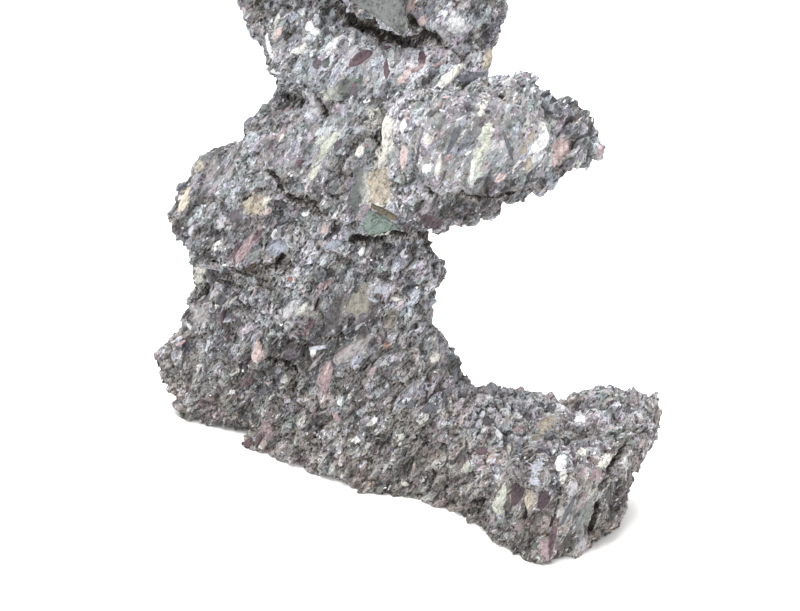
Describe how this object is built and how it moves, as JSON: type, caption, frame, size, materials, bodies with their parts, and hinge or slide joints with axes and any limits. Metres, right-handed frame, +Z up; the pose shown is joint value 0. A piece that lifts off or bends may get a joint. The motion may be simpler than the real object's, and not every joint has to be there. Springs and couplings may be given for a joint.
{
  "type": "rough rock",
  "caption": "Upright block of rough, granular grey breccia with a shelf to one side, an overhanging crown and a flat foot to stand on.",
  "frame": {"origin": "under the middle of the stone's box, on the flat foot it stands on", "axes": "+Z up, +X to the right of the shelf's side, -Y towards the face with the shelf and the right foot"},
  "size_m": [0.25, 0.2038, 0.274],
  "materials": {
    "breccia": "rough, broken"
  },
  "bodies": {
    "root": {"rock": "breccia"}
  },
  "joints": []
}
